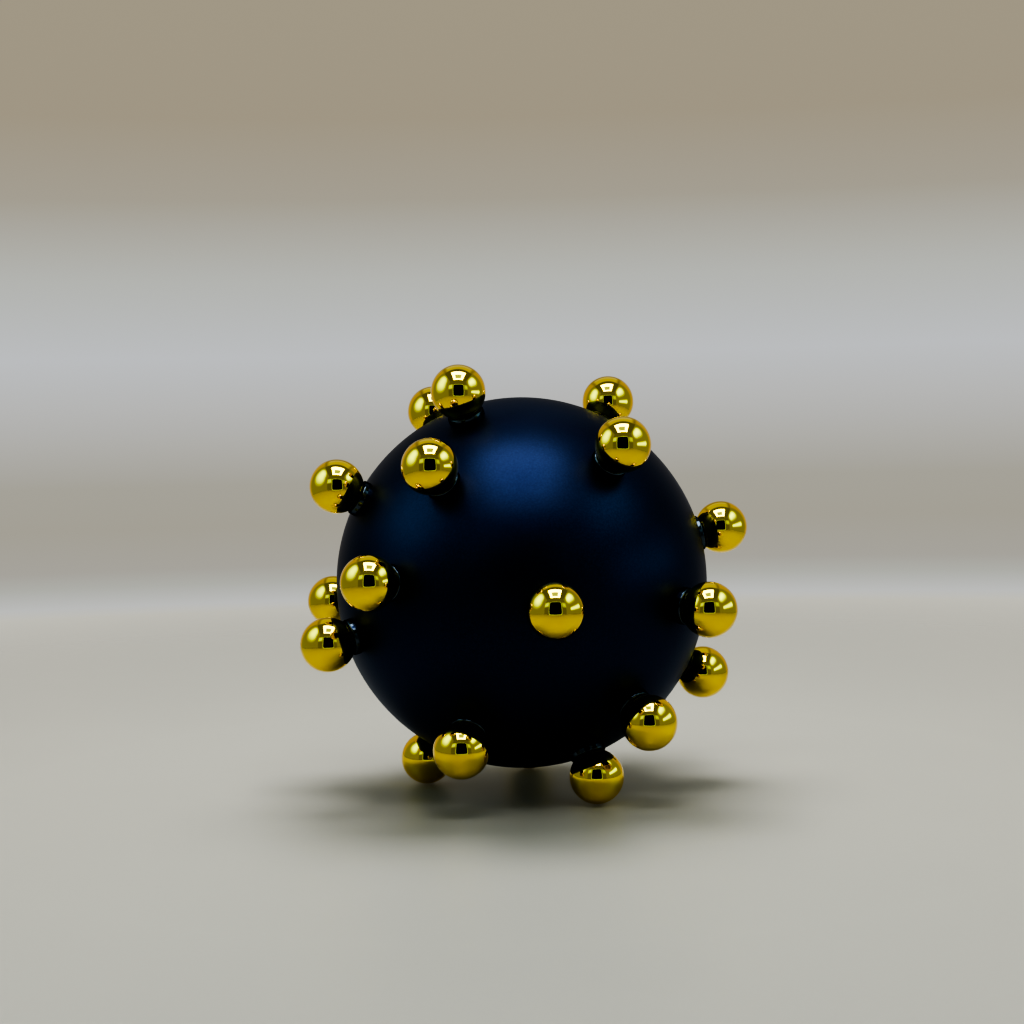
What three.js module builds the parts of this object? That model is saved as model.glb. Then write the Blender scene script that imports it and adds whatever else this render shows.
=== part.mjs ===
// Magnetic desk sculpture: a hollow steel sphere that stands on gold-plated magnet balls and
// is dotted with more of them, all held on by their own pull.
// Millimetres, +Z up. The origin is on the table, straight below the sphere's centre, and
// the front of the sculpture faces -Y.

import * as THREE from 'three';

// ---------------------------------------------------------------- driving dimensions

const sphereDiameter = 70;
const shellWall = 1.2;
const ballDiameter = 10;

const ringHeight = 7;
const ringWall = 1;

const restFlatDiameter = 1.6; // patch on which a foot ball bears on the table
const footLatitude = -59.5;   // degrees: the feet sit this far below the sphere's equator

// clearances
const seatGap = 0.1;          // lacquer and plating between a ball and the sphere
const seamGap = 0.3;          // between the rims of the two half shells
const ringClearance = 0.3;    // between the backing ring and the shells

// fineness of the facets
const shellSides = 48;
const shellBands = 10;
const ringBands = 4;
const ballSides = 16;
const ballBands = 8;

// ---------------------------------------------------------------- where the balls sit

// Latitude above the sphere's equator and azimuth from +X towards +Y, in degrees.
const ballPlaces = [
  { name: 'ball_crown_front_left', latitude: 63.5, azimuth: -127 },
  { name: 'ball_crown_back_right', latitude: 58, azimuth: 34 },
  { name: 'ball_crown_back_left', latitude: 55, azimuth: 137 },

  { name: 'ball_shoulder_front_right', latitude: 40, azimuth: -53.5 },
  { name: 'ball_shoulder_front_left', latitude: 34.5, azimuth: -118 },
  { name: 'ball_shoulder_left', latitude: 28.5, azimuth: -162.5 },
  { name: 'ball_shoulder_back', latitude: 30, azimuth: 84 },
  { name: 'ball_shoulder_right', latitude: 13.5, azimuth: 8 },

  { name: 'ball_waist_front_left', latitude: 4, azimuth: -131.5 },
  { name: 'ball_waist_front', latitude: -2.5, azimuth: -82 },
  { name: 'ball_waist_right', latitude: -5.5, azimuth: -33.5 },
  { name: 'ball_waist_back_right', latitude: -6, azimuth: 52 },
  { name: 'ball_waist_back', latitude: -8, azimuth: 103 },
  { name: 'ball_waist_back_left', latitude: -6, azimuth: 159.5 },
  { name: 'ball_waist_left', latitude: -13.5, azimuth: -155 },

  { name: 'ball_hip_right', latitude: -28, azimuth: 11 },
  { name: 'ball_hip_front_right', latitude: -36, azimuth: -47 },
  { name: 'ball_hip_front_left', latitude: -43, azimuth: -112.5 },

  { name: 'foot_ball_front_right', latitude: footLatitude, azimuth: -50.5, foot: true },
  { name: 'foot_ball_back_left', latitude: footLatitude, azimuth: 160, foot: true },
  { name: 'foot_ball_back', latitude: footLatitude, azimuth: 88, foot: true },
];

// ---------------------------------------------------------------- sizes worked out from these

const sphereRadius = sphereDiameter / 2;
const hollowRadius = sphereRadius - shellWall;
const ballRadius = ballDiameter / 2;
const restFlatRadius = restFlatDiameter / 2;
const quarterTurn = Math.PI / 2;

// from the sphere's centre to a ball's centre
const seatRadius = sphereRadius + seatGap + ballRadius;
// from a foot ball's centre down to its flat
const footCentreHeight = Math.sqrt(ballRadius ** 2 - restFlatRadius ** 2);
const sphereCentreHeight = footCentreHeight - seatRadius * sinDegrees(footLatitude);

// ---------------------------------------------------------------- materials

const satinBlueSteel = new THREE.MeshStandardMaterial({
  color: 0x0a1830,
  metalness: 0.7,
  roughness: 0.45,
});
const bareSteel = new THREE.MeshStandardMaterial({
  color: 0x8c9094,
  metalness: 1,
  roughness: 0.4,
});
const goldPlate = new THREE.MeshStandardMaterial({
  color: 0xe0b020,
  metalness: 1,
  roughness: 0.08,
});

// ---------------------------------------------------------------- shapes

function sinDegrees(angle) {
  return Math.sin(THREE.MathUtils.degToRad(angle));
}

// Unit vector from the sphere's centre towards a place on it.
function outward(latitude, azimuth) {
  const polar = THREE.MathUtils.degToRad(90 - latitude);
  const around = THREE.MathUtils.degToRad(azimuth);
  return new THREE.Vector3(
    Math.sin(polar) * Math.cos(around),
    Math.sin(polar) * Math.sin(around),
    Math.cos(polar),
  );
}

// Points of an arc about the profile's centre, from one elevation (radians) to another.
// An end that lies at a pole is put exactly on the axis.
function arc(radius, from, to, bands) {
  const points = [];
  for (let i = 0; i <= bands; i++) {
    const elevation = from + ((to - from) * i) / bands;
    const atPole = Math.abs(Math.abs(elevation) - quarterTurn) < 1e-9;
    const x = atPole ? 0 : radius * Math.cos(elevation);
    points.push(new THREE.Vector2(x, radius * Math.sin(elevation)));
  }
  return points;
}

// A profile turned about Z.
function turned(profile, sides) {
  const geometry = new THREE.LatheGeometry(profile, sides);
  geometry.rotateX(quarterTurn);
  return geometry;
}

// One half of the hollow sphere, dome up, its rim half a seam gap above the equator.
function halfShellGeometry() {
  const rimHeight = seamGap / 2;
  const innerRim = Math.asin(rimHeight / hollowRadius);
  const outerRim = Math.asin(rimHeight / sphereRadius);
  return turned(
    [
      ...arc(hollowRadius, quarterTurn, innerRim, shellBands),
      ...arc(sphereRadius, outerRim, quarterTurn, shellBands),
    ],
    shellSides,
  );
}

// The ring behind the seam: crowned outside to follow the shells, straight inside.
function seamRingGeometry() {
  const crownRadius = hollowRadius - ringClearance;
  const halfHeight = ringHeight / 2;
  const edge = Math.asin(halfHeight / crownRadius);
  const boreRadius = crownRadius * Math.cos(edge) - ringWall;
  const crown = arc(crownRadius, -edge, edge, ringBands);
  return turned(
    [
      ...crown,
      new THREE.Vector2(boreRadius, halfHeight),
      new THREE.Vector2(boreRadius, -halfHeight),
      crown[0],
    ],
    shellSides,
  );
}

// A magnet ball. A foot has a small flat below it, where it bears on the table.
function ballGeometry(isFoot) {
  if (!isFoot) {
    return turned(arc(ballRadius, -quarterTurn, quarterTurn, ballBands), ballSides);
  }
  const flatEdge = -Math.acos(restFlatRadius / ballRadius);
  return turned(
    [
      new THREE.Vector2(0, -footCentreHeight),
      ...arc(ballRadius, flatEdge, quarterTurn, ballBands),
    ],
    ballSides,
  );
}

// ---------------------------------------------------------------- assembly

function named(name, geometry, material) {
  const mesh = new THREE.Mesh(geometry, material);
  mesh.name = name;
  return mesh;
}

function hollowSphere() {
  const sphere = new THREE.Group();
  const upper = named('upper_shell', halfShellGeometry(), satinBlueSteel);
  const lower = named('lower_shell', halfShellGeometry(), satinBlueSteel);
  lower.rotation.x = Math.PI;
  sphere.add(upper, lower, named('seam_ring', seamRingGeometry(), bareSteel));
  return sphere;
}

function magnetBalls() {
  const balls = new THREE.Group();
  for (const { name, latitude, azimuth, foot = false } of ballPlaces) {
    const ball = named(name, ballGeometry(foot), goldPlate);
    ball.position.copy(outward(latitude, azimuth)).multiplyScalar(seatRadius);
    balls.add(ball);
  }
  return balls;
}

const sculpture = new THREE.Group();
sculpture.add(hollowSphere(), magnetBalls());
sculpture.position.z = sphereCentreHeight;

export default sculpture;
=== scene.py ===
# A magnetic desk sculpture: a hollow satin blue steel sphere with gold magnet balls clinging to it,
# each in a low dark collar. It stands on the lowest three balls, in a small photo tent.
import math

import bpy
from mathutils import Matrix, Vector, noise


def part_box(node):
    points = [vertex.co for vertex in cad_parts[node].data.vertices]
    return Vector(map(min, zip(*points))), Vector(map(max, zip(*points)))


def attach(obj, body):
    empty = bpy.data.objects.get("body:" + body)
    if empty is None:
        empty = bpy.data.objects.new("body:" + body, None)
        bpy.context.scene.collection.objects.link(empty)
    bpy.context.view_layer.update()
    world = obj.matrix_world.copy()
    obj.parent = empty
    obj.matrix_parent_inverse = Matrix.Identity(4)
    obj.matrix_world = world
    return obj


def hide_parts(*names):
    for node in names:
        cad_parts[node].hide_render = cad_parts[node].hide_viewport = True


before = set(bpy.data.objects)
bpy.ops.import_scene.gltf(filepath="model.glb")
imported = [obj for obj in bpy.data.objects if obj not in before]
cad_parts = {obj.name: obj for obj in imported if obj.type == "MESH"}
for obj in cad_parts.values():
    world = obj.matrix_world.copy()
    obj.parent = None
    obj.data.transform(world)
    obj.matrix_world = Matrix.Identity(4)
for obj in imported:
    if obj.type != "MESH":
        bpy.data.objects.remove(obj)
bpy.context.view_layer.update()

MM = 0.001
UP = Vector((0, 0, 1))

# The object's sizes, read from the frame.
shell_low, shell_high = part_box("upper_shell")
sphere_radius = (shell_high.x - shell_low.x) / 2
sphere_centre = Vector((
    (shell_low.x + shell_high.x) / 2,
    (shell_low.y + shell_high.y) / 2,
    shell_high.z - sphere_radius,
))
BALL_NODES = sorted(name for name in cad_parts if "ball" in name)

# Sizes that only the looks need.
shell_wall = 1.2 * MM
ripple_depth = 0.006 * MM  # how deep the plating's ripple lies under a true sphere, on average
ripple_size = 4 * MM

# The collar in which a ball sits.
seat_radius = 3.35 * MM
seat_rise = 0.95 * MM  # above the sphere
seat_sink = 0.1 * MM  # into the sphere, at the collar's outer edge
seat_edge = 0.3 * MM  # rounding of the lip
seat_clearance = 0.08 * MM  # between the collar and its ball

# Fineness of the meshes.
shell_sides = 160
outer_bands = 64
inner_bands = 20
ball_sides = 72
ball_bands = 36
seat_bands = 6
crease = math.radians(40)  # an edge that turns by more than this stays sharp


# ---------------------------------------------------------------- meshes

def new_object(name, points, faces):
    """An object in the scene with the given mesh."""
    mesh = bpy.data.meshes.new(name)
    mesh.from_pydata(points, [], faces)
    mesh.validate()
    made = bpy.data.objects.new(name, mesh)
    bpy.context.scene.collection.objects.link(made)
    return made


def turned(name, profile, sides, axis, centre):
    """A closed solid turned from (radius, height) points, of which the first and last lie on the axis."""
    across = axis.orthogonal().normalized()
    beside = axis.cross(across)
    rings = profile[1:-1]
    points = [centre + axis * profile[0][1]]
    for radius, height in rings:
        for side in range(sides):
            angle = math.tau * side / sides
            spoke = across * math.cos(angle) + beside * math.sin(angle)
            points.append(centre + axis * height + spoke * radius)
    points.append(centre + axis * profile[-1][1])
    last = len(points) - 1
    faces = []
    for side in range(sides):
        after = (side + 1) % sides
        faces.append((0, 1 + after, 1 + side))
        for ring in range(len(rings) - 1):
            low = 1 + ring * sides
            high = low + sides
            faces.append((low + side, low + after, high + after, high + side))
        top = 1 + (len(rings) - 1) * sides
        faces.append((last, top + side, top + after))
    piece = new_object(name, points, faces)
    piece.data.shade_smooth()
    return piece


def arc(radius, first, last, bands):
    """Points on a circle about the axis, from one latitude to another."""
    steps = [first + (last - first) * band / bands for band in range(bands + 1)]
    return [(radius * math.cos(a), radius * math.sin(a)) for a in steps]


def half_shell(name, pole):
    """Half of the hollow sphere: an outer wall, an inner wall and the flat rim between them at the seam."""
    outer = arc(sphere_radius, 0, math.pi / 2, outer_bands)
    inner = arc(sphere_radius - shell_wall, math.pi / 2, 0, inner_bands)
    profile = [(0, inner[0][1])] + inner[1:] + outer[:-1] + [(0, outer[-1][1])]
    shell = turned(name, profile, shell_sides, pole, sphere_centre)
    shell.data.set_sharp_from_angle(angle=crease)
    return shell


def ball_place(ball_node):
    """A ball's radius, its centre and the direction in which it stands on the sphere."""
    low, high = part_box(ball_node)
    radius = (high.x - low.x) / 2
    centre = Vector(((low.x + high.x) / 2, (low.y + high.y) / 2, high.z - radius))
    return radius, centre, (centre - sphere_centre).normalized()


def seat_collar(ball_node):
    """The collar round a ball's point of contact: hollowed for the ball, with a rounded lip."""
    radius, centre, outward = ball_place(ball_node)
    reach = (centre - sphere_centre).length
    cup = radius + seat_clearance
    lip_height = sphere_radius + seat_rise
    sunk_height = math.sqrt(sphere_radius ** 2 - seat_radius ** 2) - seat_sink
    rim = math.asin((reach - lip_height) / cup)
    hollow = [(across, reach + up) for across, up in arc(cup, -rim, -math.pi / 2, seat_bands)]
    lip = [
        (seat_radius - seat_edge + across, lip_height - seat_edge + up)
        for across, up in arc(seat_edge, 0, math.pi / 2, seat_bands)
    ]
    profile = [(0, sunk_height), (seat_radius, sunk_height)] + lip + hollow[:-1] + [(0, reach - cup)]
    collar = turned(ball_node + "_seat", profile, ball_sides, outward, sphere_centre)
    collar.data.set_sharp_from_angle(angle=crease)
    return collar


def magnet_ball(ball_node, number):
    """A ball where the CAD has it, with the faint ripple of its plating. A foot ball keeps its flat."""
    radius, centre, outward = ball_place(ball_node)
    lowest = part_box(ball_node)[0].z
    profile = arc(radius, -math.pi / 2, math.pi / 2, ball_bands)
    profile[0] = (0, -radius)
    profile[-1] = (0, radius)
    ball = turned(ball_node + "_gold", profile, ball_sides, outward, centre)
    own_noise = Vector((number * 10.0, 0, 0))  # far enough apart that no two balls ripple alike
    for vertex in ball.data.vertices:
        spoke = vertex.co - centre
        ripple = noise.noise(spoke / ripple_size + own_noise)
        vertex.co = centre + spoke * (1 - ripple_depth * (1 + ripple) / radius)
        vertex.co.z = max(vertex.co.z, lowest)
    return ball


# ---------------------------------------------------------------- node helpers

def new_material(name):
    """A material with its nodes, links and principled shader."""
    material = bpy.data.materials.new(name)
    material.use_nodes = True
    return material, material.node_tree, material.node_tree.nodes["Principled BSDF"]


def node(tree, kind, **settings):
    """A new node. A setting that names a property sets that, and any other sets the input so named."""
    made = tree.nodes.new(kind)
    for key, value in settings.items():
        if hasattr(made, key):
            setattr(made, key, value)
        else:
            made.inputs[key.replace("_", " ")].default_value = value
    return made


def grain(tree, size, detail=3.0, place=None):
    """Noise whose features have about the given size in metres, in the object's own space."""
    place = place or node(tree, "ShaderNodeTexCoord").outputs["Object"]
    made = node(tree, "ShaderNodeTexNoise", Scale=1 / size, Detail=detail)
    tree.links.new(place, made.inputs["Vector"])
    return made.outputs["Fac"]


def ranged(tree, value, low, high, new_low, new_high, interpolation="LINEAR"):
    """The value moved from one range to another, and kept inside it."""
    made = node(tree, "ShaderNodeMapRange", interpolation_type=interpolation)
    for socket, limit in (("From Min", low), ("From Max", high), ("To Min", new_low), ("To Max", new_high)):
        made.inputs[socket].default_value = limit
    tree.links.new(value, made.inputs["Value"])
    return made.outputs["Result"]


def blended(tree, share, first, second):
    """A colour between two colours or colour outputs."""
    made = node(tree, "ShaderNodeMix", data_type="RGBA")
    tree.links.new(share, made.inputs["Factor"])
    # The node has an A, a B and a result for each data type; these are the colour ones.
    for socket, colour in ((made.inputs[6], first), (made.inputs[7], second)):
        if isinstance(colour, tuple):
            socket.default_value = (*colour, 1)
        else:
            tree.links.new(colour, socket)
    return made.outputs[2]


def bumped(tree, height, depth):
    """A normal raised by the height, which is worth the given depth in metres."""
    made = node(tree, "ShaderNodeBump", Strength=1.0, Distance=depth)
    tree.links.new(height, made.inputs["Height"])
    return made.outputs["Normal"]


def vector_math(tree, operation, vector, other=(0, 0, 0)):
    """The outputs of a sum on a vector: Vector, or Value for a length."""
    made = node(tree, "ShaderNodeVectorMath", operation=operation)
    tree.links.new(vector, made.inputs[0])
    made.inputs[1].default_value = other
    return made.outputs


def see_through(tree, share, surface):
    """Ends a material with the surface where the share is 1 and with nothing where it is 0."""
    clear = node(tree, "ShaderNodeBsdfTransparent")
    mix = node(tree, "ShaderNodeMixShader")
    tree.links.new(share, mix.inputs[0])
    tree.links.new(clear.outputs[0], mix.inputs[1])
    tree.links.new(surface, mix.inputs[2])
    tree.links.new(mix.outputs[0], tree.nodes["Material Output"].inputs["Surface"])


# ---------------------------------------------------------------- materials

# Each finish varies a little between two colours. The blue has fine flecks of a third.
BLUE = (0.0100, 0.0155, 0.041)
BLUE_CLOUD = (0.0128, 0.0190, 0.049)
BLUE_FLECK = (0.0210, 0.0310, 0.076)
GOLD = (0.85, 0.60, 0.025)
GOLD_CLOUD = (0.88, 0.64, 0.035)
COLLAR = (0.045, 0.060, 0.078)
COLLAR_CLOUD = (0.055, 0.072, 0.092)
STEEL = (0.42, 0.42, 0.44)
STEEL_MARK = (0.60, 0.60, 0.61)


def satin_blue_steel():
    """Blue-black coloured steel with a bead-blasted, satin surface."""
    material, tree, shader = new_material("satin_blue_steel")
    cloud = grain(tree, size=14 * MM, detail=2.0)
    fleck = grain(tree, size=0.35 * MM, detail=2.0)
    blue = blended(tree, ranged(tree, cloud, 0.35, 0.65, 0, 1), BLUE, BLUE_CLOUD)
    colour = blended(tree, ranged(tree, fleck, 0.35, 0.75, 0, 0.5), blue, BLUE_FLECK)
    tree.links.new(colour, shader.inputs["Base Color"])
    tree.links.new(ranged(tree, cloud, 0.3, 0.7, 0.39, 0.43), shader.inputs["Roughness"])
    blast = grain(tree, size=0.25 * MM)
    tree.links.new(bumped(tree, blast, depth=0.006 * MM), shader.inputs["Normal"])
    shader.inputs["Metallic"].default_value = 1.0
    shader.inputs["Specular Tint"].default_value = (0.68, 0.72, 0.78, 1)
    return material


def gold_plate():
    """Polished gold plating, with hairline scuffs and a faint haze."""
    material, tree, shader = new_material("gold_plate")
    place = node(tree, "ShaderNodeTexCoord").outputs["Object"]
    haze = grain(tree, size=3 * MM, place=place)
    colour = blended(tree, ranged(tree, haze, 0.35, 0.65, 0, 1), GOLD, GOLD_CLOUD)
    tree.links.new(colour, shader.inputs["Base Color"])
    tree.links.new(ranged(tree, haze, 0.4, 0.7, 0.02, 0.06), shader.inputs["Roughness"])
    slanted = node(tree, "ShaderNodeMapping", Scale=(1, 1, 12), Rotation=(0.4, 0.9, 0.2))
    tree.links.new(place, slanted.inputs["Vector"])
    scuffs = grain(tree, size=0.9 * MM, detail=2.0, place=slanted.outputs["Vector"])
    tree.links.new(bumped(tree, scuffs, depth=0.0006 * MM), shader.inputs["Normal"])
    shader.inputs["Metallic"].default_value = 1.0
    return material


def glossy_black():
    """A smooth near-black coating that stays dark at a grazing angle."""
    material, tree, shader = new_material("glossy_black")
    cloud = grain(tree, size=2 * MM, detail=2.0)
    colour = blended(tree, cloud, COLLAR, COLLAR_CLOUD)
    tree.links.new(colour, shader.inputs["Base Color"])
    tree.links.new(ranged(tree, cloud, 0.3, 0.7, 0.10, 0.15), shader.inputs["Roughness"])
    shader.inputs["Metallic"].default_value = 1.0
    shader.inputs["Specular Tint"].default_value = (0.2, 0.2, 0.2, 1)
    return material


def brushed_steel():
    """Bare steel with turning marks that run round it."""
    material, tree, shader = new_material("bare_steel")
    place = node(tree, "ShaderNodeTexCoord").outputs["Object"]
    flattened = node(tree, "ShaderNodeMapping", Scale=(1, 1, 30))
    tree.links.new(place, flattened.inputs["Vector"])
    marks = grain(tree, size=4 * MM, detail=4.0, place=flattened.outputs["Vector"])
    colour = blended(tree, marks, STEEL, STEEL_MARK)
    tree.links.new(colour, shader.inputs["Base Color"])
    tree.links.new(ranged(tree, marks, 0.3, 0.7, 0.28, 0.45), shader.inputs["Roughness"])
    tree.links.new(bumped(tree, marks, depth=0.01 * MM), shader.inputs["Normal"])
    shader.inputs["Metallic"].default_value = 1.0
    shader.inputs["Anisotropic"].default_value = 0.5
    return material


# ---------------------------------------------------------------- the object

def dress_object():
    """Every visual piece, riding on its body. All but the collars stand for a CAD node."""
    blue = satin_blue_steel()
    for name, pole in (("upper_shell", UP), ("lower_shell", -UP)):
        shell = half_shell(name + "_satin", pole)
        shell.data.materials.append(blue)
        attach(shell, "sphere")
        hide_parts(name)
    gold = gold_plate()
    for number, name in enumerate(BALL_NODES):
        ball = magnet_ball(name, number)
        ball.data.materials.append(gold)
        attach(ball, name)
        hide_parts(name)
    glossy = glossy_black()
    for name in BALL_NODES:
        collar = seat_collar(name)
        collar.data.materials.append(glossy)
        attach(collar, "sphere")
    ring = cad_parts["seam_ring"]
    ring.data.materials.clear()
    ring.data.materials.append(brushed_steel())


dress_object()


# ---------------------------------------------------------------- floor and backdrop

floor_gap = 0.2 * MM  # below the feet
floor_radius = 405 * MM
floor_fade = 300 * MM  # how wide the rim is over which the floor fades out
floor_sides = 96
FLOOR = (0.60, 0.583, 0.515)
FLOOR_CLOUD = tuple(0.94 * part for part in FLOOR)


def floor_sheet():
    """A pale paper floor whose rim melts into the backdrop's lower colour."""
    points = [(0, 0, -floor_gap)]
    for side in range(floor_sides):
        angle = math.tau * side / floor_sides
        points.append((floor_radius * math.cos(angle), floor_radius * math.sin(angle), -floor_gap))
    faces = [(0, 1 + side, 1 + (side + 1) % floor_sides) for side in range(floor_sides)]
    floor = new_object("floor", points, faces)

    material, tree, shader = new_material("pale_paper")
    place = node(tree, "ShaderNodeTexCoord").outputs["Object"]
    cloud = grain(tree, size=90 * MM, place=place)
    tree.links.new(blended(tree, cloud, FLOOR_CLOUD, FLOOR), shader.inputs["Base Color"])
    tooth = grain(tree, size=0.6 * MM, detail=2.0, place=place)
    tree.links.new(bumped(tree, tooth, depth=0.01 * MM), shader.inputs["Normal"])
    shader.inputs["Roughness"].default_value = 0.42
    shader.inputs["Specular IOR Level"].default_value = 0.5
    away = vector_math(tree, "LENGTH", place)["Value"]
    see_through(tree, ranged(tree, away, floor_radius - floor_fade, floor_radius, 1, 0), shader.outputs[0])
    floor.data.materials.append(material)


# The backdrop's colour by height above the horizon, in degrees. The first is where it leaves the floor.
BACKDROP = (
    (-5.4, (0.475, 0.464, 0.408)),
    (-5.1, (0.445, 0.450, 0.440)),
    (-4.5, (0.362, 0.366, 0.334)),
    (-4.0, (0.330, 0.317, 0.282)),
    (-2.7, (0.320, 0.304, 0.259)),
    (-1.4, (0.325, 0.313, 0.270)),
    (1.1, (0.410, 0.411, 0.403)),
    (2.6, (0.445, 0.459, 0.476)),
    (5.0, (0.397, 0.405, 0.378)),
    (7.5, (0.321, 0.298, 0.246)),
    (10.0, (0.306, 0.271, 0.206)),
    (14.0, (0.309, 0.277, 0.209)),
)
ROOF = (0.22, 0.22, 0.20)
roof_height = 50  # degrees above the horizon, where the backdrop has turned into the roof


def backdrop():
    """The tent's back and roof, as a plain light that changes with height only."""
    world = bpy.data.worlds.new("tent")
    bpy.context.scene.world = world
    world.use_nodes = True
    tree = world.node_tree
    direction = node(tree, "ShaderNodeTexCoord").outputs["Generated"]
    split = node(tree, "ShaderNodeSeparateXYZ")
    tree.links.new(direction, split.inputs[0])
    height = split.outputs["Z"]
    low, high = (math.sin(math.radians(BACKDROP[end][0])) for end in (0, -1))
    ramp = node(tree, "ShaderNodeValToRGB")
    tree.links.new(ranged(tree, height, low, high, 0, 1), ramp.inputs["Fac"])
    stops = ramp.color_ramp.elements
    while len(stops) < len(BACKDROP):
        stops.new(0.5)  # placed just below
    for stop, (angle, colour) in zip(stops, BACKDROP):
        stop.position = (math.sin(math.radians(angle)) - low) / (high - low)
        stop.color = (*colour, 1)
    roof = ranged(tree, height, high, math.sin(math.radians(roof_height)), 0, 1)
    colour = blended(tree, roof, ramp.outputs["Color"], ROOF)
    tree.links.new(colour, tree.nodes["Background"].inputs["Color"])


# ---------------------------------------------------------------- the tent that the gold mirrors

def tent_card(name, corner_low, corner_high, colour, strength, soft, rounding, is_wall):
    """A glowing or black sheet of the tent, in mm, flat in the direction in which its corners agree.

    Only a wall lights the floor. A patch shows in reflections alone.
    """
    low, high = Vector(corner_low) * MM, Vector(corner_high) * MM
    centre, size = (low + high) / 2, high - low
    flat = min(range(3), key=lambda way: abs(size[way]))
    ways = [way for way in range(3) if way != flat]
    corners = []
    for across, along in ((-1, -1), (1, -1), (1, 1), (-1, 1)):
        corner = Vector()
        corner[ways[0]] = across * size[ways[0]] / 2
        corner[ways[1]] = along * size[ways[1]] / 2
        corners.append(corner)
    card = new_object(name, corners, [(0, 1, 2, 3)])
    card.location = centre
    card.visible_camera = False
    card.visible_diffuse = is_wall
    card.visible_shadow = is_wall
    card.visible_transmission = False

    material, tree, shader = new_material(name)
    tree.nodes.remove(shader)
    # How far a point lies outside the card's inner rectangle, which has no soft edge or round corner.
    inset = max(rounding, soft) * MM
    inner = [size[way] / 2 - inset for way in range(3)]
    inner[flat] = 0
    place = node(tree, "ShaderNodeTexCoord").outputs["Object"]
    reach = vector_math(tree, "ABSOLUTE", place)["Vector"]
    past = vector_math(tree, "SUBTRACT", reach, inner)["Vector"]
    outside = vector_math(tree, "MAXIMUM", past)["Vector"]
    distance = vector_math(tree, "LENGTH", outside)["Value"]
    share = ranged(tree, distance, inset - soft * MM, inset, 1, 0, "SMOOTHSTEP")
    glow = node(tree, "ShaderNodeEmission", Color=(*colour, 1), Strength=strength)
    see_through(tree, share, glow.outputs[0])
    card.data.materials.append(material)


# The sheets' colours. The lit cloth is bluish green, which the gold mirrors as a pale yellow.
BLACK = (0, 0, 0)
COOL = (0.95, 1.0, 1.05)
LIT = (0.86, 1.32, 1.3)
DIM = (0.84, 1.0, 0.95)
HAZE = (0.80, 1.15, 3.0)
WARM = (1.15, 1.0, 0.8)

# The square lamp overhead is four strips, which leave a hazy middle.
lamp_height = 344
lamp_strength = 8.0

# Name, low corner, high corner, colour, strength, width of the soft edge and corner rounding.
TENT_WALLS = (
    ("side_wall_left", (-206, -300, -60), (-206, 520, 380), DIM, 0.26, 60, 60),
    ("side_wall_right", (206, -300, -60), (206, 520, 380), DIM, 0.26, 60, 60),
    ("front_wall", (-330, -262, -60), (330, -262, 420), DIM, 0.17, 40, 40),
    ("back_roof", (-190, 30, 356), (190, 430, 356), COOL, 0.50, 60, 60),
    ("roof_front", (-250, -290, 352), (250, 110, 352), DIM, 0.14, 50, 50),
)
TENT_PATCHES = (
    ("back_left", (-204, 90, -60), (-204, 580, 380), WARM, 0.36, 80, 80),
    ("back_right", (204, 90, -60), (204, 580, 380), WARM, 0.36, 80, 80),
    ("flap_left", (-260, -258, 118), (-95, -258, 240), LIT, 0.75, 35, 35),
    ("flap_right", (105, -258, 100), (300, -258, 230), LIT, 0.58, 45, 45),
    ("opening_rim", (-98, -247, -8), (107, -247, 218), LIT, 0.7, 5, 30),
    ("opening", (-91, -245, 2), (100, -245, 210), BLACK, 1.0, 5, 27),
    ("glow_left", (-202, -180, 52), (-202, 75, 352), LIT, 2.0, 115, 120),
    ("glow_right", (202, -215, 125), (202, 50, 335), LIT, 2.4, 98, 100),
    ("glow_right_low", (202, -160, 42), (202, 40, 98), LIT, 1.8, 26, 26),
    ("lamp_front", (-104, -235, lamp_height), (109, -189, lamp_height), COOL, lamp_strength, 6, 6),
    ("lamp_back", (-104, -83, lamp_height), (109, 0, lamp_height), COOL, lamp_strength, 6, 6),
    ("lamp_left", (-99, -190, lamp_height), (-52, -82, lamp_height), COOL, lamp_strength, 4, 4),
    ("lamp_right", (55, -190, lamp_height), (106, -82, lamp_height), COOL, lamp_strength, 4, 4),
    ("lamp_middle", (-60, -195, 348), (60, -80, 348), HAZE, 0.6, 8, 8),
)

for card in TENT_WALLS:
    tent_card(*card, is_wall=True)
for card in TENT_PATCHES:
    tent_card(*card, is_wall=False)


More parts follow.
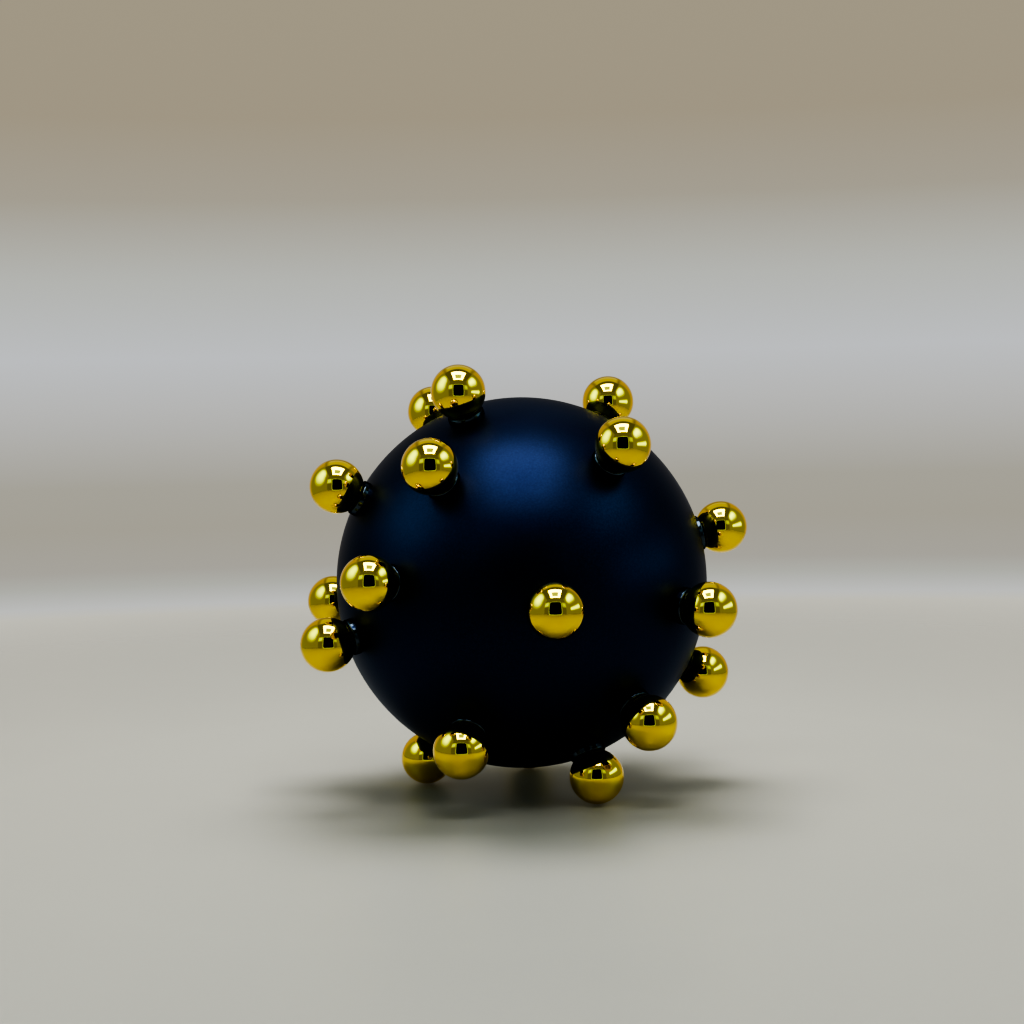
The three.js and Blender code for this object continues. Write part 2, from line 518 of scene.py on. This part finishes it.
# The soft light from above: each lamp's middle, its size in x and y in mm, and its radiance.
SOFT_LAMPS = (
    ((0, 65, 340), (180, 170), 7.4),
    ((0, -205, 340), (230, 60), 5.9),
    ((225, -225, 340), (90, 90), 1.8),
)


def soft_lamp(number, middle, size, radiance):
    """A rectangle under the tent's roof that shines straight down and isn't mirrored."""
    light = bpy.data.lights.new(f"soft_lamp_{number}", "AREA")
    light.shape = "RECTANGLE"
    light.size, light.size_y = size[0] * MM, size[1] * MM
    light.energy = radiance * math.pi * light.size * light.size_y
    lamp = bpy.data.objects.new(light.name, light)
    lamp.location = Vector(middle) * MM
    lamp.visible_camera = False
    lamp.visible_glossy = False
    bpy.context.scene.collection.objects.link(lamp)


floor_sheet()
backdrop()
for number, lamp in enumerate(SOFT_LAMPS):
    soft_lamp(number, *lamp)


# ---------------------------------------------------------------- camera

view_elevation = math.radians(4.7)
view_roll = math.radians(1.2)
view_distance = 9.726 * sphere_radius  # from the camera to the sphere's centre
lens = 62.93  # mm, like the sensor's width
sensor = 36.0
sphere_right = 0.0094  # where the sphere's centre lies in the frame, as shares of the frame's width
sphere_below = 0.0681


def photo_camera():
    """The camera at the photograph's angle: just above the sphere's middle and rolled a little."""
    back = Vector((0, -math.cos(view_elevation), math.sin(view_elevation)))
    level = Vector((1, 0, 0))
    upright = Vector((0, math.sin(view_elevation), math.cos(view_elevation)))
    right = level * math.cos(view_roll) - upright * math.sin(view_roll)
    above = level * math.sin(view_roll) + upright * math.cos(view_roll)
    axis_back = (right * sphere_right - above * sphere_below + back * lens / sensor).normalized()
    axis_right = (right - axis_back * right.dot(axis_back)).normalized()
    axis_up = axis_back.cross(axis_right)
    data = bpy.data.cameras.new("photo_camera")
    data.lens = lens
    data.sensor_width = sensor
    data.clip_start = 10 * MM
    camera = bpy.data.objects.new("photo_camera", data)
    turn = Matrix((axis_right, axis_up, axis_back)).transposed().to_4x4()
    camera.matrix_world = Matrix.Translation(sphere_centre + back * view_distance) @ turn
    bpy.context.scene.collection.objects.link(camera)
    bpy.context.scene.camera = camera


photo_camera()
bpy.context.scene.view_settings.view_transform = "AgX"
bpy.context.scene.view_settings.look = "AgX - Very High Contrast"
